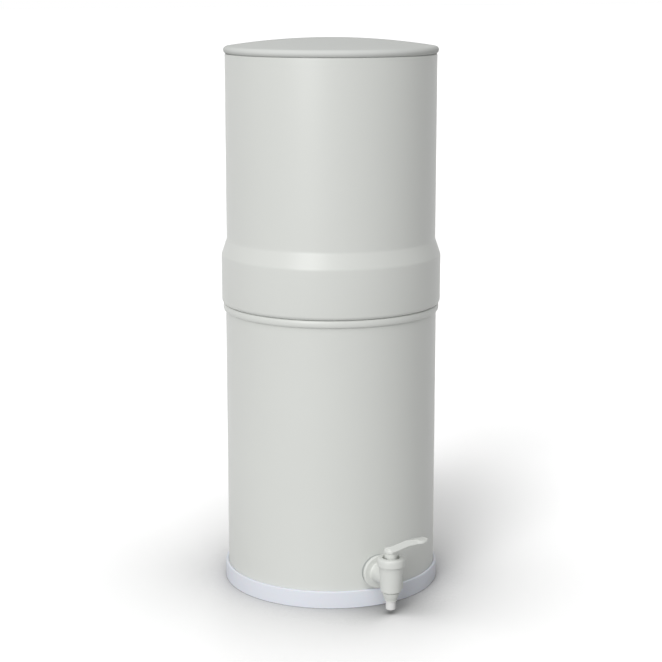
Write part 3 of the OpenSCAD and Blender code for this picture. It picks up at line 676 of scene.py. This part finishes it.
NUT_FLATS = 24 * MM
NUT_T = 8 * MM
NUT_WASHER_T = 2 * MM
NUT_FACE_EDGE = 0.5 * MM
NUT_SLIP = 0.05 * MM
corner_r = NUT_FLATS / math.sqrt(3)
bpy.ops.object.select_all(action="DESELECT")
bpy.ops.mesh.primitive_cylinder_add(vertices=6, radius=corner_r, depth=NUT_T,
                                    rotation=(math.pi / 2, math.pi / 6, 0),
                                    location=(0, -nut_y + NUT_T / 2, TAP_Z))
backnut = bpy.context.object
backnut.name = "tap_backnut_hex"
bpy.ops.object.transform_apply(location=True, rotation=True, scale=True)
turned = spun("turned", [
    (0, nut_y - NUT_T), (NUT_FLATS / 2, nut_y - NUT_T), (corner_r, nut_y - NUT_T + MM),
    (corner_r, nut_y), (0, nut_y)], foot=tap_line, axis=OUTWARDS, steps=96)
combined(backnut, turned, "INTERSECT")
face = spun("face", rounded([(0, nut_y - NUT_WASHER_T), (inner_r, nut_y - NUT_WASHER_T, NUT_FACE_EDGE),
                             (inner_r, nut_y), (0, nut_y)], 4), foot=tap_line, axis=OUTWARDS, steps=96)
combined(backnut, face, "UNION")
hole = spun("hole", [(0, 0), (SHANK_R + NUT_SLIP, 0), (SHANK_R + NUT_SLIP, LOWER_R), (0, LOWER_R)],
            foot=tap_line, axis=OUTWARDS, steps=96)
combined(backnut, hole, "DIFFERENCE")
made_of(backnut, WHITE_PLASTIC)
fitted(backnut, "root", "white_plastic", "tap_backnut")


# The bonnet screws into the barrel's top. It has a well that the lever's neck stands in,
# a pocket below for the spring, and an O-ring round its spigot.
BONNET_R = 13.65 * MM
BONNET_ROUND = 2.6 * MM
BONNET_FOOT_ROUND = 0.8 * MM
WELL_R = 8.3 * MM
WELL_H = 4.8 * MM
FLOOR_T = 2.3 * MM
POCKET_R = 6.6 * MM
BONNET_SPIGOT_R = 8.6 * MM
O_RING_W = 1.4 * MM
STEM_GAP_R = 2.6 * MM
bonnet_low, bonnet_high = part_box("tap_bonnet")
well_z = bonnet_high.z - WELL_H
pocket_z = well_z - FLOOR_T
o_ring_z = BARREL_TOP - 2 * O_RING_W
bonnet = spun("tap_bonnet_cap", rounded([
    (POCKET_R, bonnet_low.z), (BONNET_SPIGOT_R, bonnet_low.z), (BONNET_SPIGOT_R, o_ring_z),
    (BONNET_SPIGOT_R - O_RING_W, o_ring_z), (BONNET_SPIGOT_R - O_RING_W, o_ring_z + O_RING_W),
    (BONNET_SPIGOT_R, o_ring_z + O_RING_W), (BONNET_SPIGOT_R, BARREL_TOP),
    (BONNET_R, BARREL_TOP, BONNET_FOOT_ROUND), (BONNET_R, bonnet_high.z, BONNET_ROUND),
    (WELL_R, bonnet_high.z, BONNET_FOOT_ROUND), (WELL_R, well_z), (STEM_GAP_R, well_z),
    (STEM_GAP_R, pocket_z), (POCKET_R, pocket_z)], 6), foot=tap, steps=128, closed=True)
made_of(bonnet, TAP_PLASTIC)
fitted(bonnet, "root", "tap_plastic", "tap_bonnet")

# Nitrile rubber: nearly black, with a dull, even skin.
RUBBER = surface("black nitrile rubber", "#242426", "#1d1d1f", 5 * MM, 0.5, 0.4 * MM, 0.1, 0.4)
O_RING_OUT = 0.1 * MM
O_RING_SLIP = 0.05 * MM
o_ring = spun("bonnet_o_ring_seal", arc(
    BONNET_SPIGOT_R + O_RING_OUT - O_RING_W / 2, o_ring_z + O_RING_W / 2,
    O_RING_W / 2 - O_RING_SLIP, 0, 360, 16)[:-1], foot=tap, steps=64, closed=True)
made_of(o_ring, RUBBER)
fitted(o_ring, "root", "o_ring_rubber", "bonnet_o_ring")

# A slippery plastic ring in the well's floor, on which the lever turns.
THRUST_R = 8 * MM
THRUST_EDGE = 0.3 * MM
thrust_low, thrust_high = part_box("thrust_ring")
thrust = spun("thrust_ring_disc", rounded([
    (STEM_GAP_R, thrust_low.z), (THRUST_R, thrust_low.z), (THRUST_R, thrust_high.z, THRUST_EDGE),
    (STEM_GAP_R, thrust_high.z)], 4), foot=tap, steps=64, closed=True)
made_of(thrust, WHITE_PLASTIC)
fitted(thrust, "swivel", "white_plastic", "thrust_ring")


# The lever is moulded like the body: a stubby neck and head, and an arm that rises from
# the head and widens to a thumb paddle. The neck is slotted for the stem and its pin.
NECK_R = 5.45 * MM
NECK_WIDE_R = 6.3 * MM
NECK_FLARE = 1 * MM
NECK_UP = 4.5 * MM
HEAD_R = 7 * MM
HEAD_T = 4 * MM
HEAD_ROUND = 1.3 * MM
HEAD_LIP = 0.7 * MM
REACH = 45 * MM
RISE = 21.4 * MM
PADDLE_W = 12.5 * MM
ARM_W = 9.5 * MM
ARM_ROUND = 1.3 * MM
TOP_SHARES = ((-0.10, 0.20), (0.09, 0.36), (0.51, 0.86), (0.81, 1.08), (1.00, 1.07))
UNDER_SHARES = ((1.00, 0.94), (0.90, 0.90), (0.62, 0.65), (0.31, 0.27), (0.12, 0.06), (-0.10, 0.04))
ARM_BEND = 0.18 * REACH
TIP_BEND = 1.1 * MM
STEM_TOP_R = 2.3 * MM
SLOT_GAP = 0.3 * MM
SLOT_BACK = 1.9 * MM
SLOT_TOP = 1.1 * MM
STEM_TIP = 2.2 * MM
PIN_R = 1 * MM
PIN_SLIP = 1.1 * MM
PIN_GAP = 0.1 * MM
LEVER_GRAIN = 0.28 * MM

tilt = next(joint for joint in frame["joints"] if joint["name"] == "lever_tilt")
across = Vector(tilt["axis"]).normalized()
along = across.cross(UP)
lever_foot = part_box("lever")[0].z
head_z = bonnet_high.z + NECK_UP
pin_z = (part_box("lever_pin")[0].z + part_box("lever_pin")[1].z) / 2


def at_lever(x, y, z):
    """A place on the lever: x along the arm, y across it and z upwards."""
    return tap + along * x + across * y + UP * z


def side_line(shares, tip):
    """The shares as places along the arm, with the tight bend at the tip's corner."""
    return [(x * REACH, head_z + z * RISE, TIP_BEND if i == tip else ARM_BEND)
            for i, (x, z) in enumerate(shares)]


lever = spun("tap_lever", rounded([
    (0, lever_foot), (NECK_R, lever_foot), (NECK_WIDE_R, lever_foot + NECK_FLARE),
    (NECK_WIDE_R, head_z), (HEAD_R, head_z, HEAD_LIP / 3),
    (HEAD_R, head_z + HEAD_T, HEAD_ROUND), (0, head_z + HEAD_T)], 5), foot=tap, steps=96)
side_corners = side_line(TOP_SHARES, len(TOP_SHARES) - 1) + side_line(UNDER_SHARES, 0)
side_corners[0] = side_corners[0][:2]
side_corners[-1] = side_corners[-1][:2]
arm = prism("arm", [at_lever(x, -PADDLE_W, z) for x, z in rounded(side_corners, 8)],
            across * (2 * PADDLE_W))
tip_x = REACH - PADDLE_W / 2
plan_line = arc(tip_x, 0, PADDLE_W / 2, -90, 90, 24) + [
    (HEAD_R / 2, ARM_W / 2), (-HEAD_R / 2, ARM_W / 2), (-HEAD_R / 2, -ARM_W / 2), (HEAD_R / 2, -ARM_W / 2)]
plan = prism("plan", [at_lever(x, y, head_z) for x, y in plan_line], UP * (RISE + HEAD_T))
combined(arm, plan, "INTERSECT")
bevelled(arm, ARM_ROUND, 4)
combined(lever, arm, "UNION")
moulded(lever, LEVER_GRAIN, passes=9)
slot_half = STEM_TOP_R + SLOT_GAP
slot_top = pin_z + STEM_TIP + SLOT_TOP
slot = prism("slot", [at_lever(x, y, lever_foot - MM) for x, y in (
    (-STEM_TOP_R - SLOT_BACK, -slot_half), (slot_half, -slot_half), (slot_half, slot_half),
    (-STEM_TOP_R - SLOT_BACK, slot_half))], UP * (slot_top - lever_foot + MM))
combined(lever, slot, "DIFFERENCE")
pin_slot_r = PIN_R + PIN_GAP
pin_line = arc(-PIN_SLIP, pin_z, pin_slot_r, 90, 270, 16) + arc(0, pin_z, pin_slot_r, -90, 90, 16)
cross_slot = prism("cross_slot", [at_lever(x, -HEAD_R - MM, z) for x, z in pin_line],
                   across * (2 * (HEAD_R + MM)))
combined(lever, cross_slot, "DIFFERENCE")
made_of(lever, TAP_PLASTIC)
fitted(lever, "lever", "tap_plastic", "lever", angle=40)


# The valve is a plastic stem with a soft silicone cup on its foot. A steel pin through
# its head rides in the lever's slot, and a spring holds the cup down on its seat.
PIN_EDGE = 0.25 * MM
pin_half = NECK_R - SLOT_GAP
# Polished steel: a plain grey metal with a fairly sharp reflection.
POLISHED_STEEL = surface("polished steel", "#b9bcbe", "#b2b5b7", 3 * MM, 0.22, 0.5 * MM, 0.03)
POLISHED_STEEL.node_tree.nodes["Principled BSDF"].inputs["Metallic"].default_value = 1
pin = spun("lever_cross_pin", rounded([
    (0, -pin_half), (PIN_R, -pin_half, PIN_EDGE), (PIN_R, pin_half, PIN_EDGE), (0, pin_half)], 4),
    foot=tap + UP * pin_z, axis=across, radial=UP, steps=32)
made_of(pin, POLISHED_STEEL)
fitted(pin, "stem", "spring_steel", "lever_pin")

SPRING_R = 4.2 * MM
WIRE_R = 0.45 * MM
STEM_COLLAR_T = 1.2 * MM
BULB_OUT = 1 * MM
BULB_H = 2 * MM
stem_low, stem_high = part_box("valve_stem")
cup_low, cup_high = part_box("seat_cup")
collar_r = SPRING_R + WIRE_R
valve_stem = spun("valve_stem_rod", rounded([
    (0, stem_low.z), (STEM_TOP_R + BULB_OUT, stem_low.z, BULB_OUT / 2),
    (STEM_TOP_R + BULB_OUT, stem_low.z + BULB_H, BULB_OUT / 2), (STEM_TOP_R, stem_low.z + BULB_H),
    (STEM_TOP_R, cup_high.z), (collar_r, cup_high.z, STEM_COLLAR_T / 4),
    (collar_r, cup_high.z + STEM_COLLAR_T, STEM_COLLAR_T / 4),
    (STEM_TOP_R, cup_high.z + STEM_COLLAR_T),
    (STEM_TOP_R, stem_high.z, STEM_COLLAR_T / 3), (0, stem_high.z)], 4), foot=tap, steps=64)
pin_hole_r = PIN_R + PIN_GAP / 2
pin_hole = spun("pin_hole", [(0, -HEAD_R), (pin_hole_r, -HEAD_R), (pin_hole_r, HEAD_R), (0, HEAD_R)],
                foot=tap + UP * pin_z, axis=across, radial=UP, steps=32)
combined(valve_stem, pin_hole, "DIFFERENCE")
made_of(valve_stem, WHITE_PLASTIC)
fitted(valve_stem, "stem", "white_plastic", "valve_stem")

# Undyed silicone: a warm milky white, drawn without its faint translucency.
CUP_SILICONE = surface("translucent silicone", "#e6e1d6", "#e0dbd0", 8 * MM, 0.45, 0.5 * MM, 0.05)
SEAT_CUP_R = 6.25 * MM
CUP_ROUND = 1 * MM
CUP_SLIP = 0.05 * MM
cup_bulb_top = stem_low.z + BULB_H + CUP_SLIP
cup_bulb_r = STEM_TOP_R + BULB_OUT + CUP_SLIP
seat_cup = spun("seat_cup_boot", rounded([
    (0, cup_low.z), (SEAT_CUP_R, cup_low.z, CUP_ROUND), (SEAT_CUP_R, cup_high.z, CUP_ROUND),
    (STEM_TOP_R + CUP_SLIP, cup_high.z), (STEM_TOP_R + CUP_SLIP, cup_bulb_top),
    (cup_bulb_r, cup_bulb_top), (cup_bulb_r, stem_low.z), (0, stem_low.z)], 5), foot=tap, steps=64)
made_of(seat_cup, CUP_SILICONE)
fitted(seat_cup, "stem", "silicone_cup", "seat_cup")

# The spring is wound from 0.9 mm stainless wire, with a closed turn at each end. It
# shortens as the stem rises.
SPRING_TURNS = 4.5
END_PITCH = 1.4 * MM
spring_z = cup_high.z + STEM_COLLAR_T
spring_top = pocket_z
spring_pitch = (spring_top - spring_z - 2 * WIRE_R - 2 * END_PITCH) / SPRING_TURNS
all_turns = SPRING_TURNS + 2
RINGS = 24


def spring_height(turn):
    """Height of the wire's middle after that many turns, from the closed turn at the foot."""
    low = min(turn, 1)
    middle = min(max(turn - 1, 0), SPRING_TURNS)
    high = max(turn - all_turns + 1, 0)
    return spring_z + WIRE_R + (low + high) * END_PITCH + middle * spring_pitch


wire = bpy.data.curves.new("valve_spring_coil", "CURVE")
wire.dimensions = "3D"
wire.bevel_depth = WIRE_R
wire.bevel_resolution = 3
wire.use_fill_caps = True
line = wire.splines.new("POLY")
line.points.add(int(all_turns * RINGS))
for i, point in enumerate(line.points):
    a = 2 * math.pi * i / RINGS
    point.co = (SPRING_R * math.cos(a), TAP_Y + SPRING_R * math.sin(a), spring_height(i / RINGS), 1)
spring = bpy.data.objects.new("valve_spring_coil", wire)
bpy.context.collection.objects.link(spring)
picked(spring)
bpy.ops.object.convert(target="MESH")
spring = bpy.context.object
made_of(spring, POLISHED_STEEL)
fitted(spring, "root", "spring_steel", "valve_spring")
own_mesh(spring)


# The outlet is in two mouldings under the barrel: a tapering collar that screws on, and
# a whiter nozzle that the collar holds by its flange.
COLLAR_R = 8.4 * MM
COLLAR_FOOT_R = 6.3 * MM
COLLAR_LIP = 1.4 * MM
GROOVE = 0.45 * MM
HIGH_GROOVE = 1.2 * MM
LOW_GROOVE = 0.8 * MM
NOZZLE_R = 4.85 * MM
NOZZLE_BORE_R = 3.45 * MM
NOZZLE_NECK = 0.2 * MM
NOZZLE_ROUND = 0.9 * MM
NOZZLE_FLANGE_T = 1.1 * MM
COLLAR_SLIP = 0.1 * MM
collar_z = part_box("outlet_collar")[0].z
nozzle_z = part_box("nozzle")[0].z
flange_z = collar_z + COLLAR_LIP + GROOVE
collar = spun("outlet_collar_cone", rounded([
    (NOZZLE_R, collar_z), (COLLAR_FOOT_R, collar_z, GROOVE),
    (COLLAR_FOOT_R, flange_z - LOW_GROOVE, GROOVE / 3),
    (COLLAR_FOOT_R - LOW_GROOVE, flange_z - LOW_GROOVE), (COLLAR_FOOT_R - LOW_GROOVE, flange_z),
    (COLLAR_FOOT_R, flange_z, GROOVE / 3), (COLLAR_R, BARREL_FOOT - COLLAR_LIP),
    (COLLAR_R, BARREL_FOOT - HIGH_GROOVE, GROOVE / 3), (COLLAR_R - HIGH_GROOVE, BARREL_FOOT - HIGH_GROOVE),
    (COLLAR_R - HIGH_GROOVE, BARREL_FOOT), (SPIGOT_OUT_R + COLLAR_SLIP, BARREL_FOOT),
    (SPIGOT_OUT_R + COLLAR_SLIP, flange_z), (NOZZLE_R, flange_z)], 4), foot=tap, steps=96, closed=True)
made_of(collar, TAP_PLASTIC)
fitted(collar, "root", "tap_plastic", "outlet_collar")

# White hard plastic: cleaner, whiter and a little glossier than the tap's.
NOZZLE_PLASTIC = surface("white hard plastic", "#ebebea", "#e7e7e6", 8 * MM, 0.36, 0.5 * MM, 0.05)
nozzle = spun("outlet_nozzle", rounded([
    (NOZZLE_BORE_R, nozzle_z, NOZZLE_ROUND / 3), (NOZZLE_R, nozzle_z, NOZZLE_ROUND), (NOZZLE_R, collar_z),
    (NOZZLE_R - NOZZLE_NECK, collar_z), (NOZZLE_R - NOZZLE_NECK, flange_z), (SPIGOT_OUT_R, flange_z),
    (SPIGOT_OUT_R, flange_z + NOZZLE_FLANGE_T), (NOZZLE_BORE_R, flange_z + NOZZLE_FLANGE_T)], 6),
    foot=tap, steps=96, closed=True)
made_of(nozzle, NOZZLE_PLASTIC)
fitted(nozzle, "root", "nozzle_plastic", "nozzle")


# The stage: a plain pale floor, a white surround and three broad far lamps. The camera sees
# the floor lighter than it is, so that it is white but for the object's soft shadow. That shadow
# is partly cast by the lamps and partly painted shade: an ambient occlusion term darkens the
# floor's seen colour near the object.
FLOOR = 60.0
FLOOR_ALBEDO = 0.55
FLOOR_SEEN = 1.68
# SHADE_W and SHADE_DEPTH set the reach and the depth of the painted shade on the floor.
SHADE_W = 400 * MM
SHADE_DEPTH = 1.6
SURROUND = 0.265


def seen_rays(tree):
    """Gives 1 for what the camera sees, straight, in a mirror or through glass, and else 0."""
    ray = add_node(tree, "LightPath")
    seen = ray.outputs["Is Camera Ray"]
    for kind in ("Is Glossy Ray", "Is Transmission Ray"):
        seen = add_node(tree, "Math", {0: seen, 1: ray.outputs[kind]}, operation="MAXIMUM").outputs[0]
    return seen


bpy.ops.object.select_all(action="DESELECT")
bpy.ops.mesh.primitive_plane_add(size=FLOOR)
floor = bpy.context.object
floor.name = "floor"
pale = bpy.data.materials.new("pale floor")
pale.use_nodes = True
tree = pale.node_tree
tree.nodes.remove(tree.nodes["Principled BSDF"])
# Painted shade: the ambient occlusion term, raised to SHADE_DEPTH, darkens the floor's seen colour within
# SHADE_W of the object.
painted_occlusion = add_node(tree, "AmbientOcclusion", {"Distance": SHADE_W}, samples=16)
deep = add_node(tree, "Math", {0: painted_occlusion.outputs["AO"], 1: SHADE_DEPTH}, operation="POWER")
shade = add_node(tree, "Math", {0: deep.outputs[0], 1: FLOOR_SEEN}, operation="MULTIPLY")
value = add_node(tree, "MapRange", {"Value": seen_rays(tree), "To Min": FLOOR_ALBEDO,
                                    "To Max": shade.outputs[0]})
paint = add_node(tree, "BsdfDiffuse", {"Color": value.outputs["Result"]})
tree.links.new(paint.outputs[0], tree.nodes["Material Output"].inputs["Surface"])
floor.data.materials.append(pale)

world = bpy.data.worlds.new("surround")
bpy.context.scene.world = world
world.use_nodes = True
tree = world.node_tree
strength = add_node(tree, "MapRange", {"Value": seen_rays(tree), "To Min": SURROUND, "To Max": 1.0})
tree.links.new(strength.outputs["Result"], tree.nodes["Background"].inputs["Strength"])
tree.nodes["Background"].inputs["Color"].default_value = (1, 1, 1, 1)


def lamp(name, azimuth, rise, power, width):
    """A far broad lamp, whose light comes from that azimuth and height, all in degrees."""
    turn, lift = math.radians(azimuth), math.radians(rise)
    towards = Vector((math.sin(turn) * math.cos(lift), -math.cos(turn) * math.cos(lift), math.sin(lift)))
    sun = bpy.data.lights.new(name, "SUN")
    sun.energy = power
    sun.angle = math.radians(width)
    placed = bpy.data.objects.new(name, sun)
    bpy.context.collection.objects.link(placed)
    placed.rotation_euler = towards.to_track_quat("Z", "Y").to_euler()
    return placed


# The key lights the front left from low down, and a high lamp above it lights the lid
# and the shoulder. A third, without a shine of its own, lights the side that the camera
# doesn't see.
lamp("key", -50, 20, 1.35, 30)
lamp("high", -38, 56, 0.95, 40)
lamp("back", 154, 6, 1.3, 20).visible_glossy = False


# The camera stands low at the front left, so that the tap shows on the right.
CAMERA_AZIMUTH = math.radians(-25.5)
CAMERA_AWAY = 1699 * MM
CAMERA_H = 603 * MM
CAMERA_PITCH = math.radians(11.61)
FOCAL_PIXELS = 1724.9
PICTURE_PIXELS = 662
SENSOR = 36
lens = bpy.data.cameras.new("camera")
lens.sensor_width = SENSOR
lens.lens = FOCAL_PIXELS / PICTURE_PIXELS * SENSOR
camera = bpy.data.objects.new("camera", lens)
bpy.context.collection.objects.link(camera)
camera.location = (math.sin(CAMERA_AZIMUTH) * CAMERA_AWAY, -math.cos(CAMERA_AZIMUTH) * CAMERA_AWAY,
                   CAMERA_H)
camera.rotation_euler = (math.pi / 2 - CAMERA_PITCH, 0, CAMERA_AZIMUTH)
bpy.context.scene.camera = camera
bpy.context.scene.view_settings.view_transform = "Standard"
